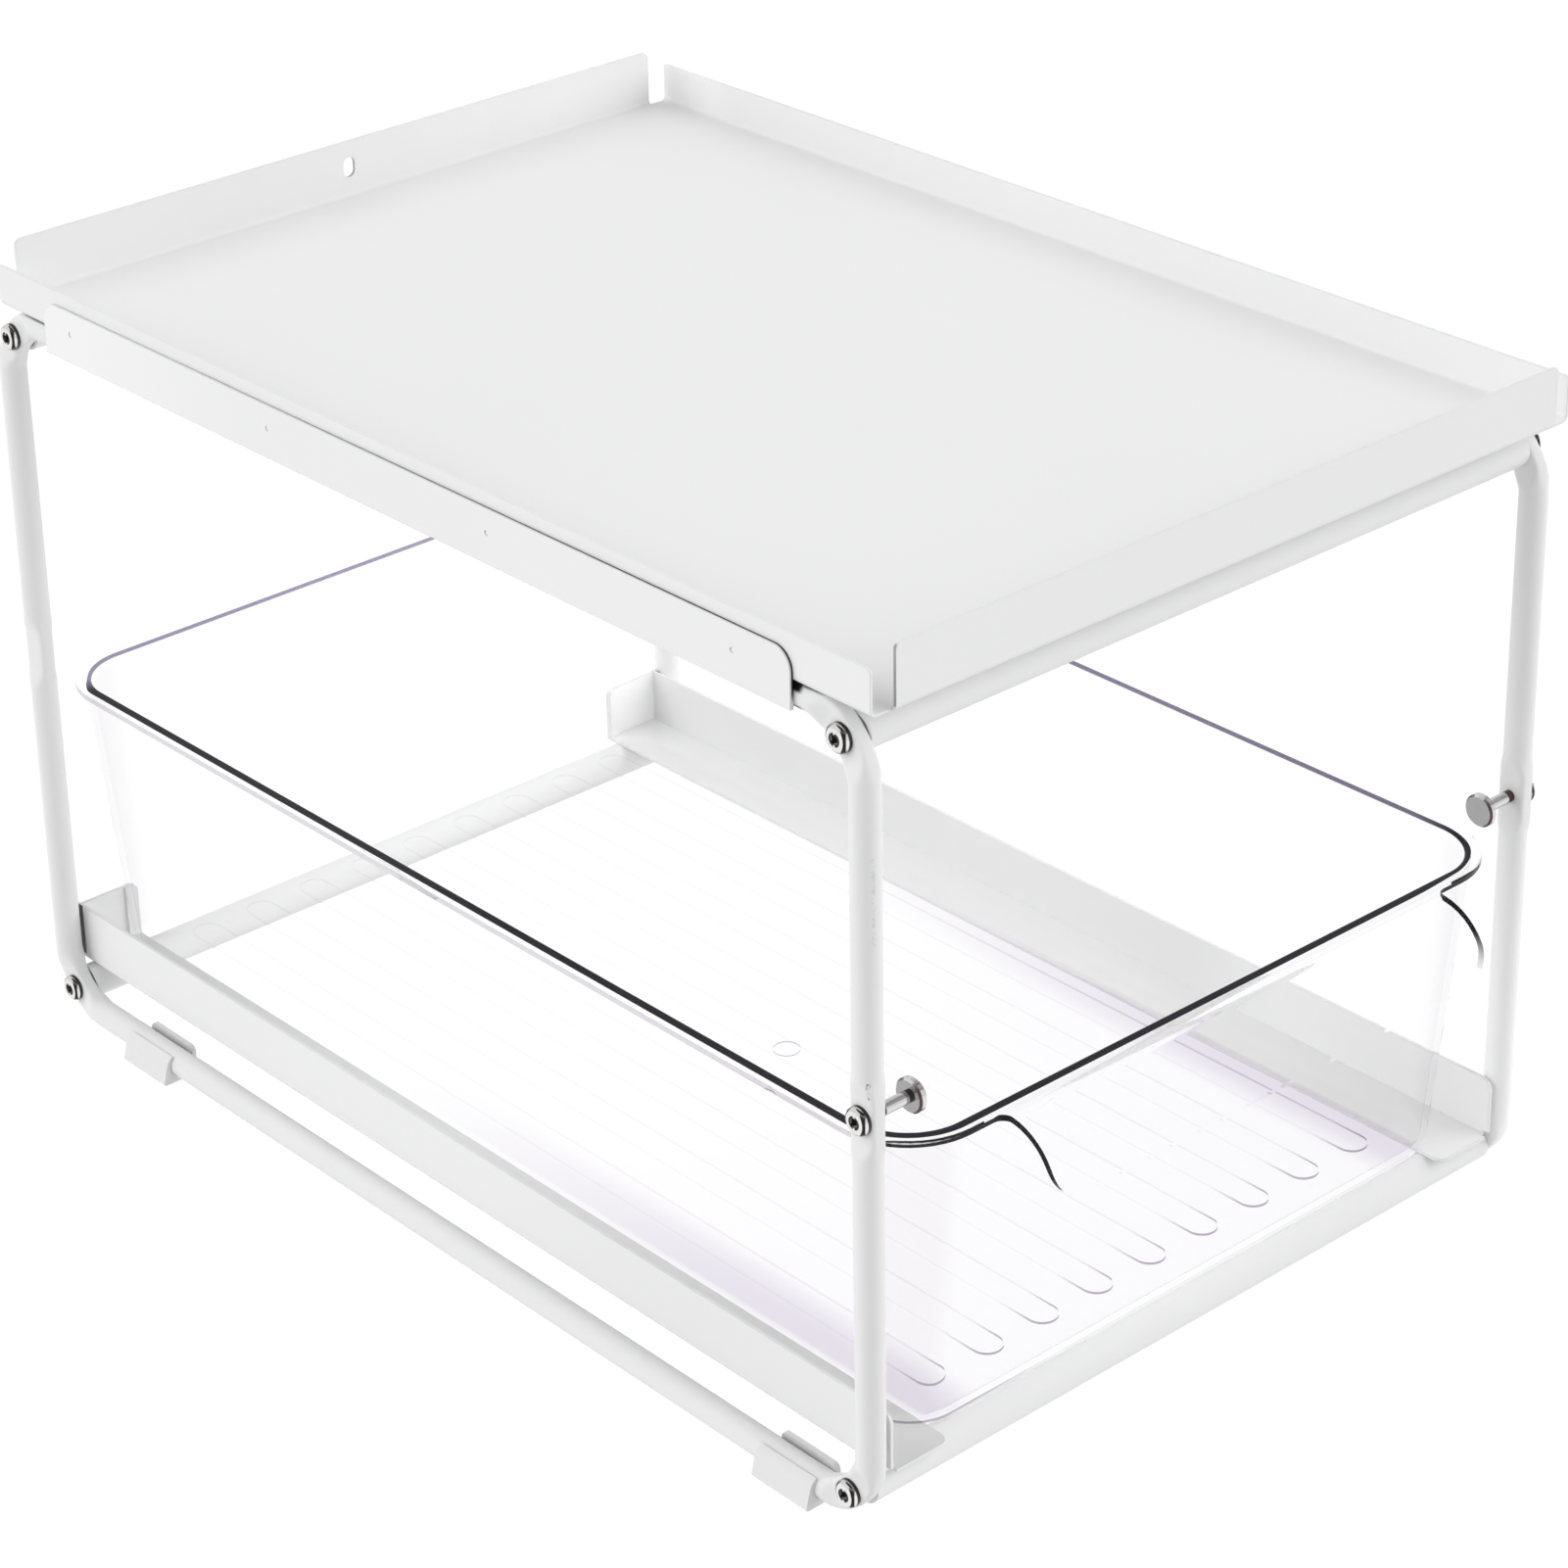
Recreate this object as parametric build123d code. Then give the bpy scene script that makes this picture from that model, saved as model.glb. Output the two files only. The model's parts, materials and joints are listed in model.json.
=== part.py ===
from build123d import *
import os

os.makedirs("parts", exist_ok=True)

# An under sink organizer: two bent tube side frames joined by cross tubes, a sheet metal
# tray on top, two sheet rails below and one clear drawer that slides out to the front.
# Millimetres, +Z up, -Y is the front, the origin is under the middle of the whole.

# Overrun that all cuts share
cut_over = 1.0

# Side frame tube
tube_dia = 9.5
tube_wall = 1.0
frame_pitch_x = 292.0
frame_depth = 433.0
frame_height = 271.5
bend_radius = 22.0
bend_inset_share = 1 - 0.5 ** 0.5
press_thick = 5.9
press_pocket_fit = 0.25
pinch_width = 11.4
pinch_length = 22.0
pinch_inner_share = 0.96

# Cross tubes
cross_dia = 12.7
cross_wall = 1.2

# Screws
screw_dia = 5.0
screw_length = 20.0
screw_fit = 0.05
head_dia = 9.5
head_height = 2.75
head_round = 1.9
hex_across = 3.0
hex_depth = 1.6
insert_length = 14.0
insert_fit = 0.05

# Drawer retaining pins
barrel_dia = 4.2
barrel_bore_dia = 3.0
barrel_reach = 11.2
pin_head_dia = 11.5
pin_head_thick = 3.0
pin_head_bevel = 0.7
pin_screw_reach = 7.0
barrel_floor = 1.2
pin_rise = 9.75

# Feet
foot_drop = 6.5
foot_length = 25.4
foot_front_gap = 33.5
foot_back_gap = 56.5
foot_fit = 0.1
foot_wall = 1.8
foot_flare = 1.7
foot_lip_angle = 48.0
foot_lip_wall = 0.9
foot_tab_rise = 4.6
foot_tab_wall = 1.6
foot_tab_corner = 2.4
foot_edge = 0.9

# Drawer rails
rail_sheet = 1.2
rail_gap = 1.05
rail_width = 25.2
rail_height = 22.5
rail_front_over = 2.5
rail_back_over = 1.5
rail_bend = 1.8
rail_corner = 4.0
flap_height = 22.0
flap_hem = 5.0
flap_corner = 2.5
notch_width = 2.6
notch_depth = 2.2

# Tray
tray_fit = 0.25
tray_front_over = 9.5
tray_back_inset = 2.5
tray_sheet = 1.0
tray_bend = 1.6
side_flange = 15.4
end_flange = 21.7
side_flange_gap = 1.7
end_flange_gap = 8.3
side_flange_corner = 1.4
end_flange_corner = 2.4
hang_hole_width = 5.0
hang_hole_height = 7.5
hang_hole_rise = 11.8

# Apron plates
apron_sheet = 1.2
apron_front_inset = 24.0
apron_back_inset = 33.0
apron_top = 10.5
apron_drop = 8.2
apron_corner = 7.0
weld_pitch = 112.0
weld_dia = 1.8
weld_depth = 0.3
weld_rise = 2.3
weld_count = 4

# Drawer
drawer_wall = 2.2
drawer_height = 112.8
drawer_stop_gap = 1.5
drawer_front_inset = 4.8
drawer_side_gap = 12.7
drawer_end_draft = 9.0
rim_gap = 2.45
drawer_base_corner = 18.0
drawer_top_corner = 24.0
drawer_foot_radius = 1.6
drawer_floor_radius = 3.0
rim_width = 3.4
rim_sheet = 2.2
rim_edge = 0.8
mouth_round = 1.0
rib_count = 9
rib_width = 11.0
rib_side_inset = 22.0
rib_end_inset = 13.4
rib_rise = 0.9
gate_dia = 9.8
gate_rise = 0.5
gate_shift_y = -17.0

# Pull lip on the drawer front
lip_side_inset = 37.4
lip_flat = 16.4
lip_reach = 23.0
lip_drop = 22.5
lip_bend = 20.0
lip_sheet = 2.2
lip_corner = 12.0
lip_root_round = 4.0

# Derived places
tube_r = tube_dia / 2
cross_r = cross_dia / 2
frame_x = frame_pitch_x / 2
post_y = frame_depth / 2
low_z = foot_drop
top_z = low_z + frame_height
bend_inset = bend_radius * bend_inset_share
screw_y = post_y - bend_inset
screw_low_z = low_z + bend_inset
screw_top_z = top_z - bend_inset
press_half = press_thick / 2
flat_x = frame_x + press_half
inner_flat_x = frame_x - press_half
press_pocket_dia = cross_dia + 2 * press_pocket_fit
deck_z = top_z + tube_r
tray_width = 2 * (frame_x + tube_r + tray_fit)
tray_front_y = -post_y - tray_front_over
tray_back_y = post_y - tray_back_inset
tray_length = tray_back_y - tray_front_y
tray_mid_y = (tray_front_y + tray_back_y) / 2
apron_front_y = -post_y + apron_front_inset
apron_back_y = post_y - apron_back_inset
rail_z = screw_low_z + cross_r
rail_face_x = frame_x - tube_r - rail_gap
rail_front_y = -post_y - rail_front_over
rail_back_y = post_y + rail_back_over
drawer_z = rail_z + rail_sheet
rim_z = drawer_z + drawer_height
drawer_front_y = -post_y + drawer_front_inset
drawer_back_y = rail_back_y - 2 * rail_sheet - drawer_stop_gap
drawer_mid_y = (drawer_front_y + drawer_back_y) / 2
drawer_base_width = 2 * (rail_face_x - rail_sheet - drawer_side_gap)
drawer_base_length = drawer_back_y - drawer_front_y
drawer_top_width = 2 * (frame_x - tube_r - rim_gap - rim_width)
drawer_top_length = drawer_base_length + 2 * drawer_end_draft
rib_length = drawer_base_length - 2 * rib_end_inset
rib_pitch = (drawer_base_width - 2 * rib_side_inset - rib_width) / (rib_count - 1)
lip_half = drawer_top_width / 2 - lip_side_inset
pin_height = rim_z + pin_rise + pin_head_dia / 2


def block(x0, x1, y0, y1, z0, z1):
    center = ((x0 + x1) / 2, (y0 + y1) / 2, (z0 + z1) / 2)
    return Pos(*center) * Box(abs(x1 - x0), abs(y1 - y0), abs(z1 - z0))


def rod_x(x0, x1, y, z, dia):
    middle = Pos((x0 + x1) / 2, y, z) * Rot(0, 90, 0)
    return middle * Cylinder(dia / 2, abs(x1 - x0))


def export(name, *solids):
    placed = [Pos(0, place_y, 0) * solid for solid in solids]
    shape = placed[0] if len(placed) == 1 else Compound(children=placed)
    shape.label = name
    export_step(shape, "parts/" + name + ".step")


# Side frames
def loop_path(x):
    middle = Plane((x, 0, low_z + frame_height / 2), x_dir=(0, 1, 0), z_dir=(1, 0, 0))
    return (middle * RectangleRounded(frame_depth, frame_height, bend_radius)).face().outer_wire()


def loop_rod(x, dia):
    path = loop_path(x)
    section = Plane(path @ 0, z_dir=path % 0) * Circle(dia / 2)
    return sweep(section, path=path)


def press_sites():
    sites = []
    for y in (-screw_y, screw_y):
        for z in (screw_low_z, screw_top_z):
            sites.append((y, z))
    return sites


def side_frame(side):
    x = side * frame_x
    outer = loop_rod(x, tube_dia)
    bore = loop_rod(x, tube_dia - 2 * tube_wall)
    pinch_sites = [(-post_y, pin_height), (post_y, pin_height)]
    for y, z in pinch_sites:
        ball = scale(Sphere(tube_r), by=(pinch_inner_share, pinch_width / tube_dia, pinch_length / tube_dia))
        outer = outer + Pos(x, y, z) * ball
    shell = outer - bore
    sites = press_sites() + pinch_sites
    far = frame_x + tube_r + cut_over
    near = frame_x - tube_r - cut_over
    for y, z in sites:
        zone = rod_x(side * near, side * far, y, z, press_pocket_dia)
        filled = outer & zone
        out_web = filled & block(
            side * flat_x, side * (flat_x - tube_wall),
            y - press_pocket_dia, y + press_pocket_dia, z - press_pocket_dia, z + press_pocket_dia)
        in_web = filled & block(
            side * inner_flat_x, side * (inner_flat_x + tube_wall),
            y - press_pocket_dia, y + press_pocket_dia, z - press_pocket_dia, z + press_pocket_dia)
        out_cut = rod_x(side * flat_x, side * far, y, z, press_pocket_dia)
        in_cut = rod_x(side * near, side * inner_flat_x, y, z, press_pocket_dia)
        shell = shell - out_cut - in_cut + out_web + in_web
    for y, z in press_sites():
        shell = shell - rod_x(side * near, side * far, y, z, screw_dia + 2 * screw_fit)
    shell = shell - rod_x(side * near, side * far, -post_y, pin_height, barrel_dia + 2 * screw_fit)
    return shell


# Cross tubes
def cross_tube(y, z):
    body = rod_x(-inner_flat_x, inner_flat_x, y, z, cross_dia)
    bore_dia = cross_dia - 2 * cross_wall
    return body - rod_x(-inner_flat_x - cut_over, inner_flat_x + cut_over, y, z, bore_dia)


def tube_insert(side, y, z):
    inner_end = inner_flat_x - insert_length
    plug_dia = cross_dia - 2 * cross_wall - 2 * insert_fit
    body = rod_x(side * inner_end, side * inner_flat_x, y, z, plug_dia)
    bore = rod_x(side * (inner_end - cut_over), side * (inner_flat_x + cut_over), y, z,
                 screw_dia + 2 * screw_fit)
    return body - bore


# Button head screws
def button_screw(side, y, z, shank_dia, reach):
    head = Pos(side * (flat_x + head_height / 2), y, z) * Rot(0, side * 90, 0) * Cylinder(
        head_dia / 2, head_height)
    crown = head.edges().filter_by(GeomType.CIRCLE).sort_by(Axis.X)
    crown = crown[-1] if side > 0 else crown[0]
    head = fillet(crown, head_round)
    shank = rod_x(side * (flat_x - reach), side * flat_x, y, z, shank_dia)
    hex_r = hex_across / 3 ** 0.5
    top_x = side * (flat_x + head_height)
    socket_plane = Plane((top_x, y, z), x_dir=(0, 0, 1), z_dir=(-side, 0, 0))
    socket = extrude(socket_plane * RegularPolygon(hex_r, 6), hex_depth)
    return head + shank - socket


def screw_group(side):
    return [button_screw(side, y, z, screw_dia, screw_length) for y, z in press_sites()]


# Drawer retaining pins
def retaining_pin(side):
    y = -post_y
    z = pin_height
    outer_end = flat_x - tube_wall
    head_face = frame_x - tube_r - barrel_reach
    head_end = head_face - pin_head_thick
    barrel = rod_x(side * head_face, side * outer_end, y, z, barrel_dia)
    head = rod_x(side * head_end, side * head_face, y, z, pin_head_dia)
    head = chamfer(head.edges().filter_by(GeomType.CIRCLE), pin_head_bevel)
    bore_end = outer_end - pin_screw_reach - barrel_floor
    bore = rod_x(side * bore_end, side * (outer_end + cut_over), y, z, barrel_bore_dia + 2 * screw_fit)
    return barrel + head - bore


# Feet
def foot(side, y):
    hole_r = tube_r + foot_fit
    side_u = hole_r + foot_wall
    tab_u = -hole_r - foot_tab_wall
    base_u = side_u + foot_flare
    lip_r = hole_r + foot_lip_wall
    lip = Vector(lip_r, 0).rotate(Axis.Z, foot_lip_angle)
    lip_bulge = Vector((lip_r + side_u) / 2, 0).rotate(Axis.Z, foot_lip_angle / 2)
    outline = Polyline(lip, (0, 0), (-hole_r, 0), (-hole_r, foot_tab_rise), (tab_u, foot_tab_rise),
                       (tab_u, -foot_drop), (base_u, -foot_drop), (side_u, 0))
    section = make_face(outline + ThreePointArc((side_u, 0), lip_bulge, lip))
    low = section.vertices().filter_by(lambda v: v.Y < -foot_drop + foot_edge)
    section = fillet(low, foot_edge) - Circle(hole_r)
    start = -foot_length / 2 if side < 0 else foot_length / 2
    plane = Plane((side * frame_x, y + start, low_z), x_dir=(side, 0, 0), z_dir=(0, -side, 0))
    body = extrude(plane * section, foot_length)
    tab_top = low_z + foot_tab_rise
    corners = body.edges().filter_by(Axis.X).filter_by(lambda e: e.center().Z > tab_top - foot_edge)
    return fillet(corners, foot_tab_corner)


# Drawer rails
def rail(side):
    z0 = rail_z
    z1 = rail_z + rail_height
    inner_x = rail_face_x - rail_width
    plane = Plane((0, rail_front_y, 0), x_dir=(1, 0, 0), z_dir=(0, -1, 0))
    length = rail_back_y - rail_front_y
    points = [
        (side * rail_face_x, z0), (side * rail_face_x, z1), (side * (rail_face_x - rail_sheet), z1),
        (side * (rail_face_x - rail_sheet), z0 + rail_sheet), (side * inner_x, z0 + rail_sheet),
        (side * inner_x, z0)]
    section = make_face(Polyline(*points, close=True))
    bend = section.vertices().filter_by(
        lambda v: abs(abs(v.X) - rail_face_x) < rail_sheet / 2 and abs(v.Y - z0) < rail_sheet / 2)
    section = fillet(bend, rail_bend)
    body = extrude(plane * section, -length)
    body = body - block(side * (rail_face_x + cut_over), side * (rail_face_x - notch_width),
                        rail_front_y - cut_over, rail_front_y + notch_depth,
                        z0 - cut_over, z0 + notch_depth)
    flap = block(side * inner_x, side * (rail_face_x - rail_sheet), rail_back_y - rail_sheet, rail_back_y,
                 z0 + rail_sheet, z0 + flap_height)
    hem = block(side * inner_x, side * (inner_x + flap_hem), rail_back_y - 2 * rail_sheet,
                rail_back_y - rail_sheet, z0 + rail_sheet, z0 + flap_height)
    tab = flap + hem
    tab_edges = tab.edges().filter_by(Axis.Y).filter_by(
        lambda e: abs(abs(e.center().X) - inner_x) < rail_sheet / 2 and e.center().Z > z0 + rail_height / 2)
    tab = fillet(tab_edges, flap_corner)
    body = body + tab
    plate_corner = body.edges().filter_by(Axis.X).filter_by(
        lambda e: abs(e.center().Y - rail_front_y) < rail_sheet / 2 and abs(e.center().Z - z1) < rail_sheet / 2)
    body = fillet(plate_corner, rail_corner)
    flange_corner = body.edges().filter_by(Axis.Z).filter_by(
        lambda e: abs(e.center().Y - rail_front_y) < rail_sheet / 2
        and abs(abs(e.center().X) - inner_x) < rail_sheet / 2)
    return fillet(flange_corner, rail_corner)


# Tray
def channel_section(width, flange):
    half = width / 2
    points = [
        (-half, flange), (-half, 0), (half, 0), (half, flange), (half - tray_sheet, flange),
        (half - tray_sheet, tray_sheet), (-half + tray_sheet, tray_sheet), (-half + tray_sheet, flange)]
    section = make_face(Polyline(*points, close=True))
    low = section.vertices().filter_by(lambda v: abs(v.Y) < tray_sheet / 2)
    section = fillet(low, tray_bend + tray_sheet)
    inner = section.vertices().filter_by(
        lambda v: abs(v.Y - tray_sheet) < tray_sheet / 4 and abs(v.X) > half - 2 * tray_sheet)
    return fillet(inner, tray_bend)


def tray():
    side_length = tray_length - 2 * side_flange_gap
    side_plane = Plane((0, tray_mid_y - side_length / 2, deck_z), x_dir=(1, 0, 0), z_dir=(0, -1, 0))
    sides = extrude(side_plane * channel_section(tray_width, side_flange), -side_length)
    side_corners = sides.edges().filter_by(Axis.X).filter_by(
        lambda e: e.center().Z > deck_z + side_flange - tray_sheet / 2)
    sides = fillet(side_corners, side_flange_corner)
    end_width = tray_width - 2 * end_flange_gap
    end_plane = Plane((-end_width / 2, tray_mid_y, deck_z), x_dir=(0, 1, 0), z_dir=(1, 0, 0))
    ends = extrude(end_plane * channel_section(tray_length, end_flange), end_width)
    end_corners = ends.edges().filter_by(Axis.Y).filter_by(
        lambda e: e.center().Z > deck_z + end_flange - tray_sheet / 2)
    ends = fillet(end_corners, end_flange_corner)
    hole_plane = Plane((0, tray_back_y + cut_over, deck_z + hang_hole_rise), x_dir=(0, 0, 1), z_dir=(0, -1, 0))
    hole = extrude(hole_plane * SlotOverall(hang_hole_height, hang_hole_width),
                   tray_sheet + 2 * cut_over)
    return sides + ends - hole


# Apron plates
def apron(side):
    face_x = side * tray_width / 2
    height = apron_top + apron_drop
    middle_z = deck_z + apron_top - height / 2
    middle_y = (apron_front_y + apron_back_y) / 2
    plane = Plane((face_x, middle_y, middle_z), x_dir=(0, side, 0), z_dir=(side, 0, 0))
    outline = Rectangle(apron_back_y - apron_front_y, height)
    upper = outline.vertices().sort_by(Axis.Y)[-2:]
    outline = fillet(upper, apron_corner)
    body = extrude(plane * outline, apron_sheet)
    outer_x = face_x + side * apron_sheet
    for n in range(weld_count):
        y = (n - (weld_count - 1) / 2) * weld_pitch
        spot = rod_x(outer_x - side * weld_depth, outer_x + side * cut_over, y, deck_z + weld_rise, weld_dia)
        body = body - spot
    return body


# Drawer
def drawer_section(width, length, corner, z):
    return Plane((0, drawer_mid_y, z)) * RectangleRounded(width, length, corner)


def drawer():
    outer = loft([
        drawer_section(drawer_base_width, drawer_base_length, drawer_base_corner, drawer_z),
        drawer_section(drawer_top_width, drawer_top_length, drawer_top_corner, rim_z)])
    outer = fillet(outer.faces().sort_by(Axis.Z)[0].edges(), drawer_foot_radius)
    two_walls = 2 * drawer_wall
    floor_z = drawer_z + drawer_wall
    inner = loft([
        drawer_section(drawer_base_width - two_walls, drawer_base_length - two_walls,
                       drawer_base_corner - drawer_wall, floor_z),
        drawer_section(drawer_top_width - two_walls, drawer_top_length - two_walls,
                       drawer_top_corner - drawer_wall, rim_z)])
    inner = fillet(inner.faces().sort_by(Axis.Z)[0].edges(), drawer_floor_radius)
    rim_plan = drawer_section(drawer_top_width + 2 * rim_width, drawer_top_length + 2 * rim_width,
                              drawer_top_corner + rim_width, rim_z - rim_sheet)
    rim = extrude(rim_plan, rim_sheet)
    rim = fillet(rim.faces().sort_by(Axis.Z)[-1].edges(), rim_edge)
    body = outer + rim + pull_lip() - inner
    mouth = body.faces().sort_by(Axis.Z)[-1].inner_wires()[0]
    body = fillet(mouth.edges(), mouth_round)
    floor_plane = Plane((0, drawer_mid_y, floor_z))
    rib = extrude(floor_plane * Rot(0, 0, 90) * SlotOverall(rib_length, rib_width), rib_rise)
    for n in range(rib_count):
        body = body + Pos((n - (rib_count - 1) / 2) * rib_pitch, 0, 0) * rib
    gate_z = floor_z + rib_rise + gate_rise / 2
    return body + Pos(0, gate_shift_y, gate_z) * Cylinder(gate_dia / 2, gate_rise)


def pull_lip():
    rim_front = drawer_mid_y - drawer_top_length / 2 - rim_width
    root_y = rim_front + rim_width
    middle_z = rim_z - lip_sheet / 2
    tip = (rim_front - lip_reach, rim_z - lip_drop)
    path = FilletPolyline((root_y, middle_z), (rim_front - lip_flat, middle_z), tip, radius=lip_bend)
    wide = lip_half + 2 * lip_root_round
    side_view = Plane((-wide, 0, 0), x_dir=(0, 1, 0), z_dir=(1, 0, 0))
    band = extrude(side_view * trace(path, lip_sheet), 2 * wide)

    # Seen from above, it leaves the rim in a small round on both sides
    far = rim_front - lip_reach - lip_sheet
    plan = make_face(Polyline(
        (-wide, root_y), (-wide, rim_front), (-lip_half, rim_front), (-lip_half, far),
        (lip_half, far), (lip_half, rim_front), (wide, rim_front), (wide, root_y), close=True))
    roots = plan.vertices().filter_by(
        lambda v: abs(v.Y - rim_front) < lip_sheet / 2 and abs(v.X) < lip_half + lip_root_round)
    plan = fillet(roots, lip_root_round)
    band = band & extrude(Plane((0, 0, tip[1] - lip_sheet)) * plan, lip_drop + 2 * lip_sheet)

    # Seen from the front, its lower corners are rounded
    front_view = Plane((0, root_y, rim_z), x_dir=(1, 0, 0), z_dir=(0, -1, 0))
    low = Rectangle(2 * lip_half, lip_drop + lip_sheet / 4, align=(Align.CENTER, Align.MAX))
    low = fillet(low.vertices().sort_by(Axis.Y)[:2], lip_corner)
    root_band = Rectangle(2 * wide, lip_sheet, align=(Align.CENTER, Align.MAX))
    return band & extrude(front_view * (low + root_band), root_y - far)


# The drawer's reach to the front and back sets the origin in the middle
drawer_body = drawer()
drawer_box = drawer_body.bounding_box()
place_y = -(drawer_box.min.Y + drawer_box.max.Y) / 2

# Export every piece
cross_places = {
    "top_front": (-screw_y, screw_top_z),
    "top_back": (screw_y, screw_top_z),
    "low_front": (-screw_y, screw_low_z),
    "low_back": (screw_y, screw_low_z),
}
for name, place in cross_places.items():
    export("cross_tube_" + name, cross_tube(*place))
export("tube_inserts", *[tube_insert(side, y, z) for side in (-1, 1) for y, z in press_sites()])
pin_screw_length = tube_wall + pin_screw_reach
for name, side in (("left", -1), ("right", 1)):
    export("side_frame_" + name, side_frame(side))
    export("frame_screws_" + name, *screw_group(side))
    export("retaining_pin_" + name, retaining_pin(side))
    export("pin_screw_" + name, button_screw(side, -post_y, pin_height, barrel_bore_dia, pin_screw_length))
    export("foot_front_" + name, foot(side, -post_y + foot_front_gap))
    export("foot_back_" + name, foot(side, post_y - foot_back_gap))
    export("rail_" + name, rail(side))
    export("apron_" + name, apron(side))
export("tray", tray())
export("drawer", drawer_body)
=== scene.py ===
import json
import math

import bpy
from mathutils import Matrix, Vector


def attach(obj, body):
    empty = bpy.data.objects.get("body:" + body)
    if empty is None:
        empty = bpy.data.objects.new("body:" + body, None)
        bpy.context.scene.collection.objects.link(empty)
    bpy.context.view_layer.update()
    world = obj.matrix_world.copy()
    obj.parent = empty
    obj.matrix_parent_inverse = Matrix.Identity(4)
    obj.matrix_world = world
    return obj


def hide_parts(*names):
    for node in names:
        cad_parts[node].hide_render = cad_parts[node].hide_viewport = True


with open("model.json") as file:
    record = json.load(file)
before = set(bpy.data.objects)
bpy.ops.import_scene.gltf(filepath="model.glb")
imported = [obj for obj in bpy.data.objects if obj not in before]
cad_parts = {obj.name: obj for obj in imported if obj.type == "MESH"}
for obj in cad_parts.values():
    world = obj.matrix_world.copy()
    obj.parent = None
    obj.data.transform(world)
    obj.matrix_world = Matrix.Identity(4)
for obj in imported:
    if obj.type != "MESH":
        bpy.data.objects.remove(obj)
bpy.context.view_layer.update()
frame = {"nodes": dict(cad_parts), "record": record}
nodes = frame["nodes"]

# Photograph's camera: its place in metres, its turns in radians, its lens in pixels of the
# 1601 pixel frame
FRAME_PX = 1601
CAMERA_PLACE = Vector((-0.9049, -1.02504, 0.84424))
CAMERA_YAW = 0.70736
CAMERA_PITCH = 0.44456
CAMERA_ROLL = -0.02627
FOCAL_PX = 4577.21
CENTRE_U_PX = 717.2
CENTRE_V_PX = 625.8
SENSOR_MM = 36.0
CLIP_NEAR = 0.05
CLIP_FAR = 50.0


def add_camera():
    forward = Vector((math.cos(CAMERA_PITCH) * math.sin(CAMERA_YAW),
                      math.cos(CAMERA_PITCH) * math.cos(CAMERA_YAW),
                      -math.sin(CAMERA_PITCH)))
    right = forward.cross(Vector((0, 0, 1))).normalized()
    up = right.cross(forward)
    data = bpy.data.cameras.new("camera")
    data.sensor_width = SENSOR_MM
    data.lens = FOCAL_PX / FRAME_PX * SENSOR_MM
    data.shift_x = 0.5 - CENTRE_U_PX / FRAME_PX
    data.shift_y = CENTRE_V_PX / FRAME_PX - 0.5
    data.clip_start = CLIP_NEAR
    data.clip_end = CLIP_FAR
    camera = bpy.data.objects.new("camera", data)
    roll_cos, roll_sin = math.cos(CAMERA_ROLL), math.sin(CAMERA_ROLL)
    side = right * roll_cos + up * roll_sin
    top = up * roll_cos - right * roll_sin
    turned = Matrix((side, top, -forward)).transposed()
    camera.matrix_world = Matrix.Translation(CAMERA_PLACE) @ turned.to_4x4()
    bpy.context.scene.collection.objects.link(camera)
    bpy.context.scene.camera = camera


# Node tree helpers
def new_tree(name):
    material = bpy.data.materials.new(name)
    material.use_nodes = True
    tree = material.node_tree
    tree.nodes.clear()
    return material, tree


def add(tree, kind, **values):
    node = tree.nodes.new(kind)
    for key, value in values.items():
        if hasattr(node, key) and key not in node.inputs:
            setattr(node, key, value)
        else:
            node.inputs[key].default_value = value
    return node


def join(tree, source, out, target, into):
    tree.links.new(source.outputs[out], target.inputs[into])


def put(tree, value, socket):
    if isinstance(value, (int, float, tuple)):
        socket.default_value = value
    else:
        tree.links.new(value, socket)


def end(tree, source, out):
    join(tree, source, out, add(tree, "ShaderNodeOutputMaterial"), "Surface")


def axes(tree, coords, kind):
    node = add(tree, "ShaderNodeSeparateXYZ")
    join(tree, coords, kind, node, "Vector")
    return node.outputs["X"], node.outputs["Y"], node.outputs["Z"]


def grain(tree, coords, scale, detail):
    node = add(tree, "ShaderNodeTexNoise", Scale=scale, Detail=detail)
    join(tree, coords, "Object", node, "Vector")
    return node.outputs["Fac"]


def bumps(tree, height, strength, distance):
    node = add(tree, "ShaderNodeBump", Strength=strength, Distance=distance)
    tree.links.new(height, node.inputs["Height"])
    return node


def math_node(tree, operation, first, second=0.0):
    node = add(tree, "ShaderNodeMath", operation=operation)
    put(tree, first, node.inputs[0])
    put(tree, second, node.inputs[1])
    return node.outputs[0]


def size(tree, value):
    return math_node(tree, "ABSOLUTE", value)


def less(tree, first, second):
    return math_node(tree, "SUBTRACT", first, second)


def times(tree, first, *others):
    for other in others:
        first = math_node(tree, "MULTIPLY", first, other)
    return first


def most(tree, first, *others):
    for other in others:
        first = math_node(tree, "MAXIMUM", first, other)
    return first


def smooth_range(tree, value, start, end_value, low, high):
    node = add(tree, "ShaderNodeMapRange", interpolation_type="SMOOTHSTEP")
    node.inputs["From Min"].default_value = start
    node.inputs["From Max"].default_value = end_value
    node.inputs["To Min"].default_value = low
    node.inputs["To Max"].default_value = high
    tree.links.new(value, node.inputs["Value"])
    return node.outputs["Result"]


def rising(tree, value, start, full, top=1.0):
    return smooth_range(tree, value, start, full, 0.0, top)


def falling(tree, value, start, gone, top=1.0):
    return smooth_range(tree, value, start, gone, top, 0.0)


def window(tree, value, low, high, soft):
    return times(tree, rising(tree, value, low - soft, low), falling(tree, value, high, high + soft))


def mix_value(tree, factor, first, second):
    node = add(tree, "ShaderNodeMix", data_type="FLOAT")
    tree.links.new(factor, node.inputs[0])
    put(tree, first, node.inputs[2])
    put(tree, second, node.inputs[3])
    return node.outputs[0]


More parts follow.
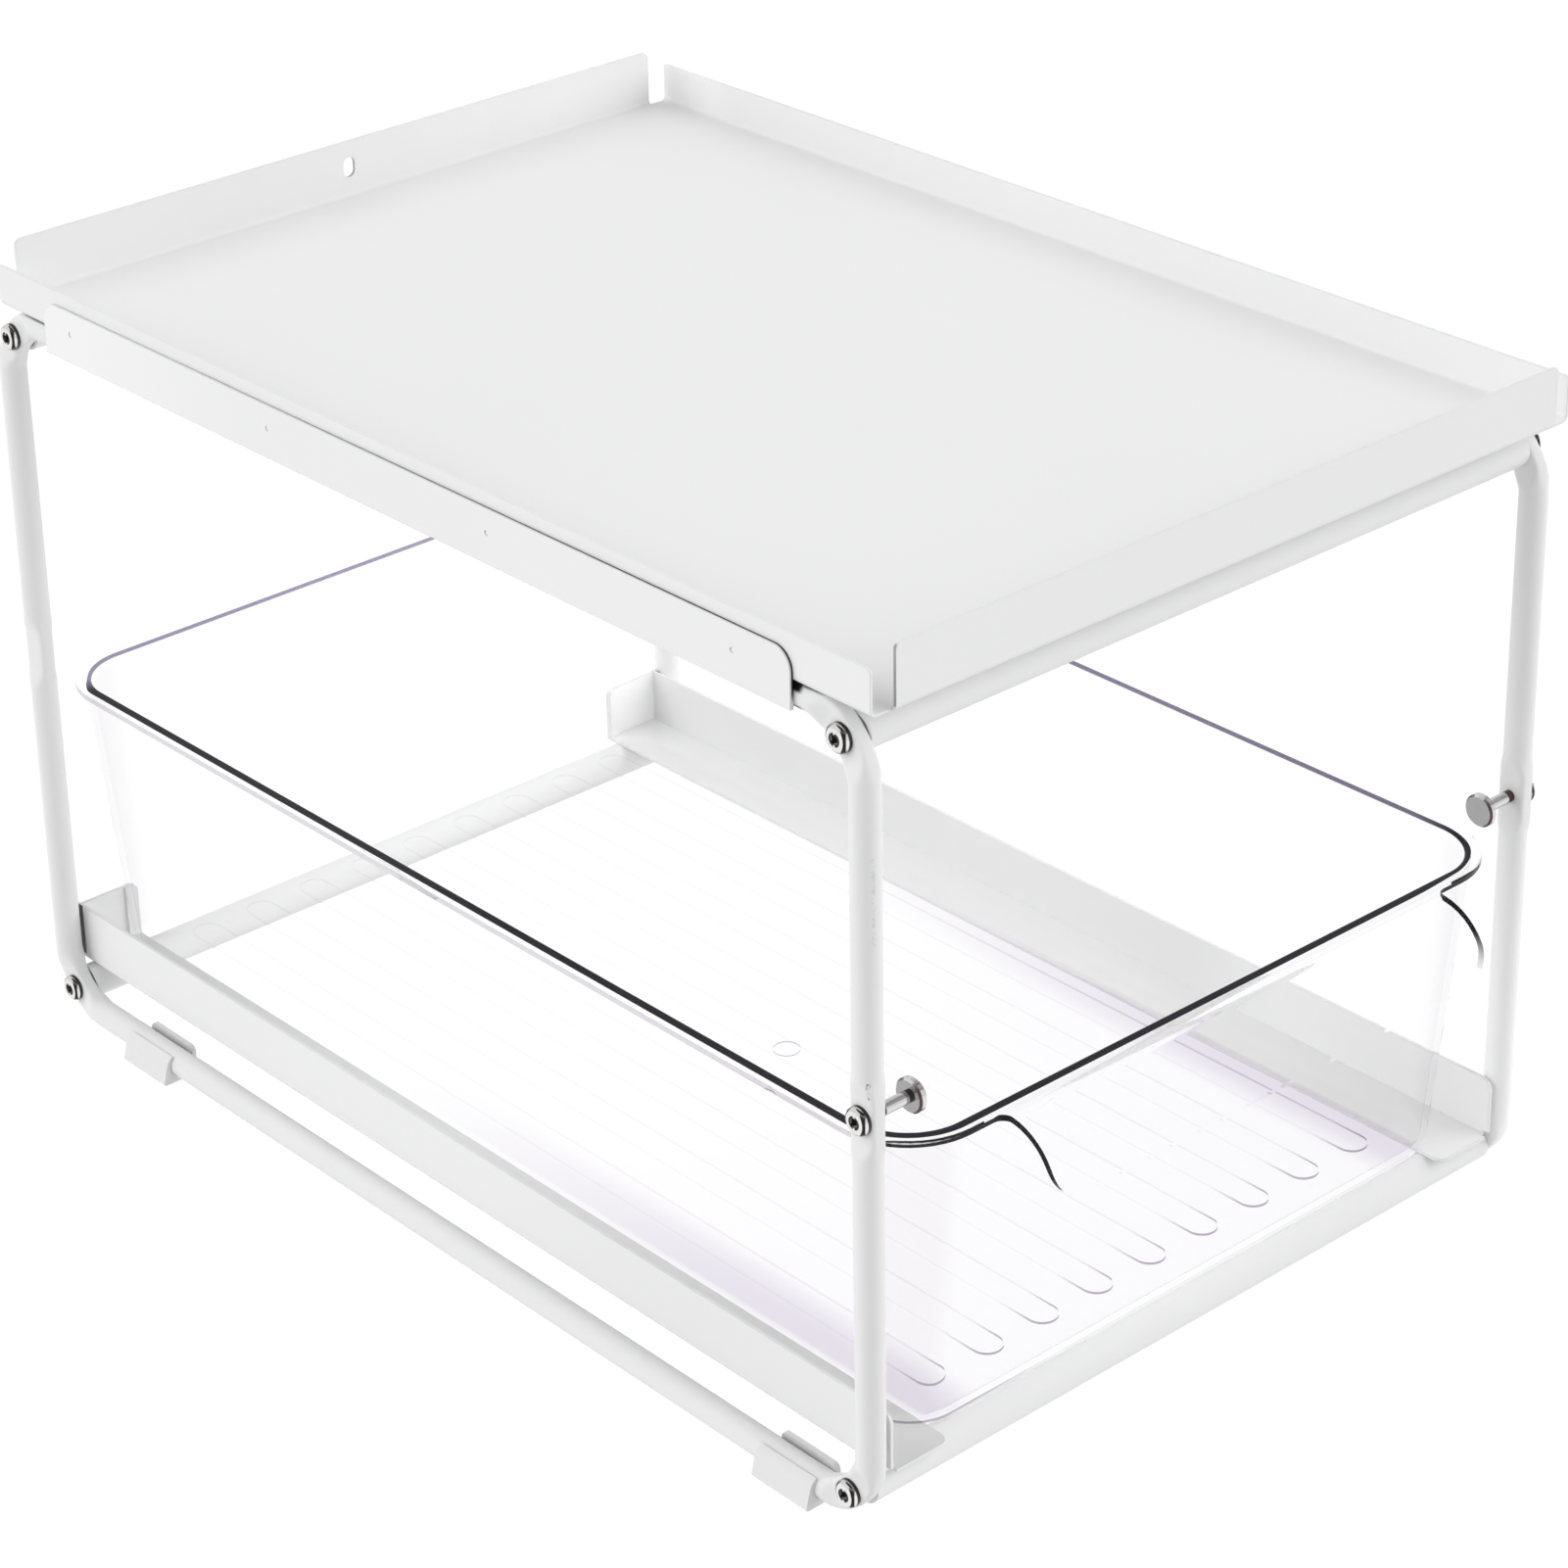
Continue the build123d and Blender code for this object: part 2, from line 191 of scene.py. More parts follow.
def mix_colour(tree, factor, first, second, clamp=True):
    node = add(tree, "ShaderNodeMix", data_type="RGBA", clamp_factor=clamp)
    tree.links.new(factor, node.inputs["Factor"])
    put(tree, first, node.inputs["A"])
    put(tree, second, node.inputs["B"])
    return node.outputs["Result"]


# A ray that a mirror or a clear wall has sent on, before any matt surface
FIRST_MATT_BOUNCE = 0.5


def mirror_rays(tree, path):
    sharp = most(tree, path.outputs["Is Glossy Ray"], path.outputs["Is Transmission Ray"])
    first = math_node(tree, "LESS_THAN", path.outputs["Diffuse Depth"], FIRST_MATT_BOUNCE)
    return times(tree, sharp, first)


# Where a face looks: ranges of its normal's part along an axis
ALONG = (0.6, 0.9)
AGAINST = (-0.9, -0.6)
ACROSS = (0.3, 0.6)
# Left half and right half of the object
MIDDLE_X = (-0.01, 0.01)

# Each function below gives the painted shade and painted light of a coat at a point, with the tubes'
# scuffs as well: above 0 it is darker, below 0 lighter.
# Ranges named for an axis are in metres.

# Aprons: a thin line of painted shade along the top edge beside the flange, deepest toward the front,
# and painted light on the back end
APRON_INNER_X = 0.151
APRON_GAP = (0.00056, 0.0008)
APRON_EDGE_TURN = (0.3, 0.5)
APRON_GAP_LOW_Z = (0.276, 0.28)
APRON_GAP_RUN_Y = (-0.15, 0.17)
APRON_GAP_BACK_SHADE = 0.35
APRON_PAINTED_LIGHT_Y = (0.05, 0.19)
APRON_BACK_PAINTED_LIGHT = 0.06


def apron_painted_shading(tree, coords):
    x, y, z = axes(tree, coords, "Object")
    facing_x = axes(tree, coords, "Normal")[0]
    # Painted shade on the top edge beside the flange
    near = falling(tree, size(tree, x), *(APRON_INNER_X + reach for reach in APRON_GAP))
    edge = falling(tree, size(tree, facing_x), *APRON_EDGE_TURN)
    above = rising(tree, z, *APRON_GAP_LOW_Z)
    front = smooth_range(tree, y, *APRON_GAP_RUN_Y, 1.0, APRON_GAP_BACK_SHADE)
    # Painted light toward the back end
    painted_light = rising(tree, y, *APRON_PAINTED_LIGHT_Y, APRON_BACK_PAINTED_LIGHT)
    return less(tree, times(tree, near, edge, above, front), painted_light)


# Tray: painted shade on the cut ends at the front corners and on the wall in the hang hole, and painted
# light on the right part of the back flange
FLANGE_LOW_Z = (0.2838, 0.285)
FLANGE_SHADE = 0.6
CUT_END_Y = (-0.2135, -0.2130)
CUT_END_X = (0.1455, 0.146)
HOLE_BACK_Y = (0.2235, 0.2237)
HOLE_TOP_Z = (0.302, 0.303)
HOLE_HALF_X = (0.006, 0.007)
BACK_FLANGE_PAINTED_LIGHT_Y = (0.18, 0.2)
BACK_FLANGE_PAINTED_LIGHT_X = (-0.05, 0.12)
BACK_FLANGE_PAINTED_LIGHT = 0.13


def tray_painted_shading(tree, coords):
    x, y, z = axes(tree, coords, "Object")
    facing_x, facing_y = axes(tree, coords, "Normal")[:2]
    off = size(tree, x)
    raised = rising(tree, z, *FLANGE_LOW_Z, FLANGE_SHADE)
    # Painted shade on the cut ends and in the hang hole
    cut_end = times(tree, rising(tree, size(tree, facing_x), *ALONG), falling(tree, y, *CUT_END_Y),
                    falling(tree, off, *CUT_END_X))
    hole = times(tree, rising(tree, y, *HOLE_BACK_Y), falling(tree, size(tree, facing_y), *ACROSS),
                 falling(tree, z, *HOLE_TOP_Z), falling(tree, off, *HOLE_HALF_X))
    # Painted light on the right part of the back flange
    painted_light = times(tree, rising(tree, y, *BACK_FLANGE_PAINTED_LIGHT_Y), rising(tree, x, *BACK_FLANGE_PAINTED_LIGHT_X, BACK_FLANGE_PAINTED_LIGHT))
    return less(tree, times(tree, most(tree, cut_end, hole), raised), times(tree, painted_light, raised))


# Tubes: painted shade in the crevices under the flange and beside the apron, a painted shadow line
# under the rails, painted shade over the whole left frame, a few scuffs on its front post, and painted
# light low down and painted shade at the top of the right front post
APRON_FRONT_Y = -0.18167
APRON_BACK_Y = 0.19433
WEDGE_FRONT = (0.0032, 0.001)
WEDGE_BACK = 0.0035
WEDGE_HIGH_Z = (0.2796, 0.2806)
WEDGE_LOW_Z = (0.2752, 0.2762)
BEND_TOP_Z = (0.272, 0.273)
OUTER_HALF_X = (0.1475, 0.1482)
UNDER_FLANGE_Z = (0.28135, 0.28195)
UNDER_FLANGE_SHADE = 0.75
LOW_TUBE_Z = (0.012, 0.013)
UNDER_RAIL_Y = (-0.175, 0.18)
UNDER_RAIL_SOFT = 0.01
UNDER_RAIL_INWARD = (-0.62, -0.42)
UNDER_RAIL_UPWARD = (0.2, 0.5)
UNDER_RAIL_SHADE = 0.5
LEFT_TUBE_PAINTED_SHADE = 0.045
LEFT_POST_X = (-0.147, -0.1465)
SCUFF_GRAIN = (900.0, 3.0)
SCUFF_PATCHES = (0.45, 0.6)
SCUFF_SOFT_Z = 0.0006
SCUFF_SOFT_Y = 0.0002
# Each scuff: low and high z, front and back y, shade
SCUFFS = (
    (0.1575, 0.1625, -0.2097, -0.2090, 0.6),
    (0.2080, 0.2360, -0.2104, -0.2101, 0.2),
)
FRONT_POST_Y = (-0.19, -0.18)
RIGHT_POST_PAINTED_LIGHT_Z = (0.03, 0.2)
RIGHT_POST_LOW_PAINTED_LIGHT = 0.11
RIGHT_POST_TOP_PAINTED_LIGHT = -0.04


def tube_painted_shading_and_scuffs(tree, coords):
    x, y, z = axes(tree, coords, "Object")
    facing_x, _, facing_z = axes(tree, coords, "Normal")
    # Painted shade in the crevices under the flange and beside the apron
    beside_apron = times(tree, rising(tree, y, *(APRON_FRONT_Y - reach for reach in WEDGE_FRONT)),
                         falling(tree, y, APRON_BACK_Y, APRON_BACK_Y + WEDGE_BACK))
    wedges = most(tree, rising(tree, z, *WEDGE_HIGH_Z), falling(tree, z, *WEDGE_LOW_Z))
    wedges = times(tree, wedges, rising(tree, z, *BEND_TOP_Z), beside_apron)
    under_flange = rising(tree, z, *UNDER_FLANGE_Z, UNDER_FLANGE_SHADE)
    crevices = times(tree, most(tree, under_flange, wedges), rising(tree, size(tree, x), *OUTER_HALF_X))

    # Painted shadow line on the low tubes under the rails
    inward = falling(tree, times(tree, facing_x, math_node(tree, "SIGN", x)), *UNDER_RAIL_INWARD)
    under_rail = times(tree, inward, rising(tree, facing_z, *UNDER_RAIL_UPWARD),
                       falling(tree, z, *LOW_TUBE_Z, UNDER_RAIL_SHADE),
                       window(tree, y, *UNDER_RAIL_Y, UNDER_RAIL_SOFT))
    # The whole left frame also gets an even painted shade
    shade = most(tree, crevices, under_rail, falling(tree, x, *MIDDLE_X, LEFT_TUBE_PAINTED_SHADE))

    patchy = rising(tree, grain(tree, coords, *SCUFF_GRAIN), *SCUFF_PATCHES)
    on_left_post = falling(tree, x, *LEFT_POST_X)
    for low_z, high_z, low_y, high_y, strength in SCUFFS:
        scuff = times(tree, window(tree, z, low_z, high_z, SCUFF_SOFT_Z),
                      window(tree, y, low_y, high_y, SCUFF_SOFT_Y), patchy, on_left_post, strength)
        shade = most(tree, shade, scuff)

    # Painted light low on the right front post, painted shade at its top
    painted_light = smooth_range(tree, z, *RIGHT_POST_PAINTED_LIGHT_Z, RIGHT_POST_LOW_PAINTED_LIGHT, RIGHT_POST_TOP_PAINTED_LIGHT)
    painted_light = times(tree, rising(tree, x, *MIDDLE_X), falling(tree, y, *FRONT_POST_Y), painted_light)
    return less(tree, shade, painted_light)


# Rails: painted shade in the gap beside the back post, on the left rail's outer plate and flange and on
# the right rail's inner plate, and painted light on the stop flap on the right
OUTER_PAINTED_SHADE_Y = (-0.12, 0.0)
OUTER_PLATE_PAINTED_SHADE = 0.04
INNER_PAINTED_SHADE_Y = (-0.12, -0.06)
INNER_PLATE_PAINTED_SHADE = 0.12
LEFT_FLANGE_PAINTED_SHADE = 0.15
RAIL_OUTER_X = (0.1399, 0.14)
POST_GAP_Y = (0.2246, 0.2256)
POST_GAP_Z = (0.0212, 0.0222)
POST_GAP_SHADE = 0.95
FLAP_Y = (0.2, 0.21)
FLAP_PAINTED_LIGHT = 0.17


def rail_painted_shading(tree, coords):
    x, y, z = axes(tree, coords, "Object")
    facing_x, facing_y, facing_z = axes(tree, coords, "Normal")
    on_right = rising(tree, x, *MIDDLE_X)
    # Painted shade on the left rail's outer plate and the right rail's inner plate
    plate_painted_shade = mix_value(tree, on_right, falling(tree, y, *OUTER_PAINTED_SHADE_Y, OUTER_PLATE_PAINTED_SHADE),
                           rising(tree, y, *INNER_PAINTED_SHADE_Y, INNER_PLATE_PAINTED_SHADE))
    plates = times(tree, falling(tree, facing_x, *AGAINST), plate_painted_shade)
    # Painted shade on the left rail's flange
    flange = times(tree, rising(tree, facing_z, *ALONG, LEFT_FLANGE_PAINTED_SHADE), falling(tree, x, *MIDDLE_X))
    # Painted shade in the gap beside the back post
    gap = times(tree, rising(tree, size(tree, x), *RAIL_OUTER_X),
                rising(tree, y, *POST_GAP_Y, POST_GAP_SHADE), rising(tree, z, *POST_GAP_Z))
    # Painted light on the right stop flap
    painted_light = times(tree, falling(tree, facing_y, *AGAINST), rising(tree, y, *FLAP_Y, FLAP_PAINTED_LIGHT), on_right)
    return less(tree, most(tree, gap, plates, flange), painted_light)


# White powder coat: a satin film with a fine orange peel, a faint drift in tone and soft edges
COAT_TONE_A = (0.835, 0.835, 0.838, 1)
COAT_TONE_B = (0.865, 0.865, 0.865, 1)
COAT_PAINTED_SHADE = (0.01, 0.01, 0.01, 1)
COAT_ROUGHNESS = 0.42
COAT_IOR = 1.45
COAT_DRIFT = (9.0, 3.0)
COAT_PEEL = (950.0, 2.0)
COAT_PEEL_STRENGTH = 0.06
COAT_PEEL_HEIGHT = 0.0004
COAT_EDGE = 0.0004
COAT_EDGE_SAMPLES = 4


def powder_coat(shade):
    material, tree = new_tree("powder_coat")
    coords = add(tree, "ShaderNodeTexCoord")
    shader = add(tree, "ShaderNodeBsdfPrincipled")
    shader.inputs["Roughness"].default_value = COAT_ROUGHNESS
    shader.inputs["IOR"].default_value = COAT_IOR
    coat = mix_colour(tree, grain(tree, coords, *COAT_DRIFT), COAT_TONE_A, COAT_TONE_B)
    # Painted shade and painted light from the piece's function: toward near black above 0, lighter than
    # the coat below 0
    if shade:
        coat = mix_colour(tree, shade(tree, coords), coat, COAT_PAINTED_SHADE, clamp=False)
    tree.links.new(coat, shader.inputs["Base Color"])
    soft = add(tree, "ShaderNodeBevel", samples=COAT_EDGE_SAMPLES)
    soft.inputs["Radius"].default_value = COAT_EDGE
    peel = bumps(tree, grain(tree, coords, *COAT_PEEL), COAT_PEEL_STRENGTH, COAT_PEEL_HEIGHT)
    join(tree, soft, "Normal", peel, "Normal")
    join(tree, peel, "Normal", shader, "Normal")
    end(tree, shader, "BSDF")
    return material


# Chrome: painted reflections in its colour, with dark bands strongest on the shoulders
PAINTED_REFLECTION_DARK = (0.03, 0.024, 0.022, 1)
PAINTED_REFLECTION_WARM = (0.1, 0.07, 0.075, 1)
# Middles of the screw heads, y and z
SCREW_SITES = (
    (-0.19922, 0.01294),
    (-0.19922, 0.27156),
    (0.22088, 0.01294),
    (0.22088, 0.27156),
    (-0.20567, 0.14879),
)
FAR_OFF = 1.0
HEAD_X = (0.1489, 0.149)
SOCKET_R = (0.0018, 0.0019)
SOCKET_SHADE_R = (0.0021, 0.0024)
SOCKET_BAND_Y = (0.00025, 0.00045)
FLAT_FACE = (0.97, 0.995)
STRAIGHT_SIDE = (0.1, 0.25)
SHOULDER_TONE = 0.8
SOCKET_WALL_TONE = 0.9
UNDERSIDE = (-0.75, -0.3)
UNDERSIDE_TONE = 0.45
BAND_SOFT = 0.08
BAND_FADE_Z = (0.45, 0.9)
BAND_FADE = 0.35
PIN_ROOT_X = (0.13005, 0.13095)
PIN_ROOT_SOFT = 0.0003
PIN_COLLAR_X = (0.1402, 0.1405)
CHROME_HAZE = (700.0, 3.0)
CHROME_ROUGHNESS = (0.05, 0.14)
# Bands of the y part of the normal that get painted dark reflections: on screws and on pins
SCREW_BANDS = (0.38, 0.72)
PIN_BANDS = (0.3, 0.74)


def socket_distances(tree, y, z):
    in_plane = add(tree, "ShaderNodeCombineXYZ")
    tree.links.new(y, in_plane.inputs["Y"])
    tree.links.new(z, in_plane.inputs["Z"])
    nearest, aside = FAR_OFF, FAR_OFF
    for site_y, site_z in SCREW_SITES:
        gap = add(tree, "ShaderNodeVectorMath", operation="DISTANCE")
        gap.inputs[1].default_value = (0.0, site_y, site_z)
        join(tree, in_plane, "Vector", gap, 0)
        nearest = math_node(tree, "MINIMUM", gap.outputs["Value"], nearest)
        aside = math_node(tree, "MINIMUM", size(tree, less(tree, y, site_y)), aside)
    return nearest, aside


def chrome(face_tone, edge_tone, bands, pin):
    material, tree = new_tree("chrome")
    coords = add(tree, "ShaderNodeTexCoord")
    shader = add(tree, "ShaderNodeBsdfPrincipled")
    shader.inputs["Metallic"].default_value = 1.0
    x, y, z = axes(tree, coords, "Object")
    facing_x, facing_y, facing_z = axes(tree, coords, "Normal")
    off = size(tree, x)
    on_head = rising(tree, off, *HEAD_X)
    nearest, aside = socket_distances(tree, y, z)

    # Painted reflection tones: one on the flat face, another on the straight side, with painted shade
    # on the underside
    flat = rising(tree, size(tree, facing_x), *FLAT_FACE)
    side = falling(tree, size(tree, facing_x), *STRAIGHT_SIDE)
    in_socket = times(tree, falling(tree, nearest, *SOCKET_R), on_head)
    body = mix_value(tree, flat, SHOULDER_TONE, face_tone)
    body = mix_value(tree, side, body, mix_value(tree, in_socket, edge_tone, SOCKET_WALL_TONE))
    body = times(tree, body, smooth_range(tree, facing_z, *UNDERSIDE, UNDERSIDE_TONE, 1.0))

    # Painted dark: reflection bands, shade in the socket's bottom but for a painted highlight bar, and
    # shade at a pin's root and collar
    fade = smooth_range(tree, size(tree, facing_z), *BAND_FADE_Z, 1.0, BAND_FADE)
    painted_dark_bands = times(tree, window(tree, size(tree, facing_y), *bands, BAND_SOFT), fade)
    sunk = times(tree, falling(tree, nearest, *SOCKET_SHADE_R), flat, on_head,
                 rising(tree, aside, *SOCKET_BAND_Y))
    dark = most(tree, painted_dark_bands, sunk)
    if pin:
        rings = most(tree, window(tree, off, *PIN_ROOT_X, PIN_ROOT_SOFT),
                     rising(tree, off, *PIN_COLLAR_X))
        dark = most(tree, dark, times(tree, rings, side))
    grey = add(tree, "ShaderNodeCombineColor")
    for channel in ("Red", "Green", "Blue"):
        tree.links.new(body, grey.inputs[channel])
    # Painted reflections and painted shade in the base colour
    tone = mix_colour(tree, dark, grey.outputs["Color"], PAINTED_REFLECTION_WARM if pin else PAINTED_REFLECTION_DARK)
    tree.links.new(tone, shader.inputs["Base Color"])

    spread = add(tree, "ShaderNodeMapRange")
    spread.inputs["To Min"].default_value, spread.inputs["To Max"].default_value = CHROME_ROUGHNESS
    tree.links.new(grain(tree, coords, *CHROME_HAZE), spread.inputs["Value"])
    join(tree, spread, "Result", shader, "Roughness")
    end(tree, shader, "BSDF")
    return material


# Moulded feet: matt plastic with a fine grain
FOOT_TONE = (0.79, 0.79, 0.79, 1)
FOOT_ROUGHNESS = 0.5
FOOT_GRAIN = (1600.0, 2.0)
FOOT_GRAIN_STRENGTH = 0.08
FOOT_GRAIN_HEIGHT = 0.0003


def foot_plastic():
    material, tree = new_tree("foot_plastic")
    coords = add(tree, "ShaderNodeTexCoord")
    shader = add(tree, "ShaderNodeBsdfPrincipled")
    shader.inputs["Roughness"].default_value = FOOT_ROUGHNESS
    shader.inputs["Base Color"].default_value = FOOT_TONE
    fine = bumps(tree, grain(tree, coords, *FOOT_GRAIN), FOOT_GRAIN_STRENGTH, FOOT_GRAIN_HEIGHT)
    join(tree, fine, "Normal", shader, "Normal")
    end(tree, shader, "BSDF")
    return material


# Drawer's mouth: half width, half length and corner radius of its inner edge, metres
MOUTH_HALF_X = 0.1332
MOUTH_HALF_Y = 0.2197
MOUTH_CORNER = 0.0218
MOUTH_MID_Y = 0.01203


def mouth_distance(tree, x, y):
    past_x = less(tree, size(tree, x), MOUTH_HALF_X - MOUTH_CORNER)
    past_y = less(tree, size(tree, less(tree, y, MOUTH_MID_Y)), MOUTH_HALF_Y - MOUTH_CORNER)
    out_x, out_y = most(tree, past_x, 0.0), most(tree, past_y, 0.0)
    squares = math_node(tree, "ADD", times(tree, out_x, out_x), times(tree, out_y, out_y))
    inside = math_node(tree, "MINIMUM", most(tree, past_x, past_y), 0.0)
    return less(tree, math_node(tree, "ADD", math_node(tree, "SQRT", squares), inside), MOUTH_CORNER)


# Drawer's heights and its pull lip
FLOOR_TOP_Z = 0.02269
RIB_TOP_Z = 0.02359
GATE_TOP_Z = 0.02409
RIM_Z = 0.13329
RIM_DEPTH = 0.003
RIM_FADE = 0.001
LIP_FRONT_Y = -0.2125
LIP_EDGE_X = 0.0955

# How strongly each zone bends light
WALL_IOR = 1.045
CALM_IOR = 1.003
RIM_IOR = 1.3
LONG_RUN_IOR = 1.03
LIP_IOR = 1.004
LIP_EDGE_FADE = 0.0005
LIP_FADE = 0.002
LIP_PLAIN_FADE = 0.004
LIP_TOP_FADE = 0.0005
LIP_TOP_SHARE = 0.6
LONG_RUN_Y = (-0.203, -0.193)
CALM_FLOOR_Z = (0.024, 0.03)
CALM_FLOOR_Y = (-0.17, -0.12)
CALM_BACK_Y = (0.19, 0.205)
CALM_SIDE_X = (0.106, 0.114)


def clear_zones(tree, x, y, z):
    off = size(tree, x)
    rim = rising(tree, z, RIM_Z - RIM_DEPTH - RIM_FADE, RIM_Z - RIM_DEPTH)
    lip = times(tree, falling(tree, y, LIP_FRONT_Y - LIP_FADE, LIP_FRONT_Y),
                rising(tree, off, LIP_EDGE_X - LIP_EDGE_FADE, LIP_EDGE_X))
    plain_lip = times(tree, falling(tree, y, LIP_FRONT_Y - LIP_PLAIN_FADE, LIP_FRONT_Y),
                      smooth_range(tree, z, RIM_Z - LIP_TOP_FADE, RIM_Z, 1.0, LIP_TOP_SHARE))
    long_run = rising(tree, y, *LONG_RUN_Y)
    calm_floor = times(tree, falling(tree, z, *CALM_FLOOR_Z), rising(tree, y, *CALM_FLOOR_Y))
    calm = most(tree, calm_floor, rising(tree, y, *CALM_BACK_Y), rising(tree, off, *CALM_SIDE_X))
    bend = mix_value(tree, most(tree, rim, lip), mix_value(tree, calm, WALL_IOR, CALM_IOR),
                     mix_value(tree, long_run, RIM_IOR, LONG_RUN_IOR))
    return rim, lip, long_run, mix_value(tree, plain_lip, bend, LIP_IOR)


# Painted refraction: a lavender cast along both long sides of the floor and, weaker, between them,
# stronger toward the front. The floor's front margin is left clear.
CLEAR_TONE = (0.998, 0.998, 0.999, 1)
PAINTED_CAST_TONE = (0.77, 0.73, 0.81, 1)
CAST_SIDE_IN_X = (0.085, 0.108)
CAST_SIDE_OUT_X = (0.1135, 0.116)
CAST_MIDDLE_X = (0.11, 0.114)
CAST_MIDDLE = 0.2
CAST_FADE_Y = (-0.16, 0.12)
CAST_LOW_Z = (0.024, 0.027)
CAST_START_Y = (-0.2, -0.196)


def painted_floor_cast(tree, x, y, z):
    off = size(tree, x)
    side = times(tree, rising(tree, off, *CAST_SIDE_IN_X), falling(tree, off, *CAST_SIDE_OUT_X))
    front = falling(tree, y, *CAST_FADE_Y)
    low = times(tree, falling(tree, z, *CAST_LOW_Z), rising(tree, y, *CAST_START_Y))
    middle = falling(tree, off, *CAST_MIDDLE_X, CAST_MIDDLE)
    return most(tree, times(tree, side, front, low), times(tree, front, low, middle))


# Upright corners but the far one: a faint painted grey, standing in for the light the wall turns away
# where it is seen edge on
PAINTED_CORNER_GREY = (0.945, 0.94, 0.95, 1)
CORNER_X = (0.108, 0.118)
CORNER_PAST_MID = (0.194, 0.204)
FAR_CORNER = (0.0, 0.1)
CORNER_FOOT = 0.004
CORNER_SOFT = 0.002


def painted_corner_grey(tree, x, y, z):
    past_end = size(tree, less(tree, y, MOUTH_MID_Y))
    corners = times(tree, rising(tree, size(tree, x), *CORNER_X),
                    rising(tree, past_end, *CORNER_PAST_MID))
    far = times(tree, rising(tree, x, *FAR_CORNER), rising(tree, y, *FAR_CORNER))
    between = window(tree, z, FLOOR_TOP_Z + CORNER_FOOT, RIM_Z - RIM_DEPTH - CORNER_SOFT, CORNER_SOFT)
    return times(tree, corners, less(tree, 1.0, far), between)


# Ribs: painted lavender grey lines on their sides, standing in for light bent at their edges, clearest
# at the front ends.
# The same painted line tone draws the base's front edge, the gate's mark in the floor and a faint line
# outside the left rim.
PAINTED_LINE_TONE = (0.23, 0.2, 0.27, 1)
RIB_SOFT = 0.0001
RIB_ENDS_Y = (-0.186, -0.165)
RIB_RUN_LINE = 0.1
RIB_OUTER_X = (0.106, 0.107)
RIB_BACK_Y = (0.215, 0.216)
BASE_FRONT_Y = (-0.192, -0.191)
BASE_LINE_X = (-0.1, -0.06)
BASE_EDGE_LINE = 0.25
BASE_CORNER_LINE = 0.9
BASE_CORNER_X = (-0.1, -0.09)
GATE_FOOT = 0.0002
GATE_Y = (-0.18, 0.2)
GATE_SOFT_Y = 0.005
RIM_OUTER_DISTANCE = (0.003, 0.0042)
RIM_SIDE_LINE = 0.6


def painted_rib_lines(tree, x, y, z, facing_x, facing_z):
    off = size(tree, x)
    upright = falling(tree, size(tree, facing_z), *ACROSS)
    at_edge = falling(tree, y, *BASE_FRONT_Y)
    edge_line = smooth_range(tree, x, *BASE_LINE_X, BASE_CORNER_LINE, BASE_EDGE_LINE)
    painted_lines = mix_value(tree, at_edge, smooth_range(tree, y, *RIB_ENDS_Y, 1.0, RIB_RUN_LINE), edge_line)
    on_floor = falling(tree, off, *RIB_OUTER_X)
    kept = most(tree, on_floor, times(tree, at_edge, falling(tree, x, *BASE_CORNER_X)))
    # Painted lines on the rib sides and the base's front edge
    ribs = times(tree, upright, window(tree, z, FLOOR_TOP_Z, RIB_TOP_Z, RIB_SOFT),
                 painted_lines, kept, falling(tree, y, *RIB_BACK_Y))
    # Painted line round the gate
    gate = times(tree, upright, window(tree, z, RIB_TOP_Z + GATE_FOOT, GATE_TOP_Z, RIB_SOFT),
                 on_floor, window(tree, y, *GATE_Y, GATE_SOFT_Y))
    return most(tree, ribs, gate)


# Painted line outside the left rim
def painted_rim_outline(tree, x, distance, long_run, rim, facing_x):
    outward = times(tree, rising(tree, distance, *RIM_OUTER_DISTANCE), long_run)
    return times(tree, outward, rim, rising(tree, size(tree, facing_x), *ALONG),
                 falling(tree, x, *MIDDLE_X), RIM_SIDE_LINE)


# Painted dark line, standing in for the light that the mouth's rounded edge and the lip's side edges
# turn away. It is mauve along the back and the right run.
LINE_PAINTED_DARK = (0.012, 0.011, 0.016, 1)
LINE_MAUVE = (0.36, 0.33, 0.45, 1)
LINE_ROUGHNESS = 0.25
LINE_SPECULAR = 0.1
LINE_START = (-0.0002, 0.0)
LINE_WIDE_X = (-0.12, 0.12)
LINE_WIDE_LEFT = 0.0037
LINE_WIDE_RIGHT = 0.0014
LINE_WIDE_BACK = 0.0012
LINE_WIDE_FRONT = 0.0036
LINE_WIDE_CORNER = 0.002
LINE_FRONT_Y = (-0.205, -0.19)
LINE_CORNER_X = (0.09, 0.125)
LINE_TOP = (0.001, 0.0008)
BACK_RUN_Y = (0.212, 0.224)
RIGHT_RUN_X = (0.122, 0.13)
RIGHT_RUN_Y = (-0.195, -0.17)
RIGHT_RUN_MAUVE = 0.55
LIP_SIDEWAYS = (0.35, 0.6)
LIP_TAPER_Z = (0.111, 0.126)


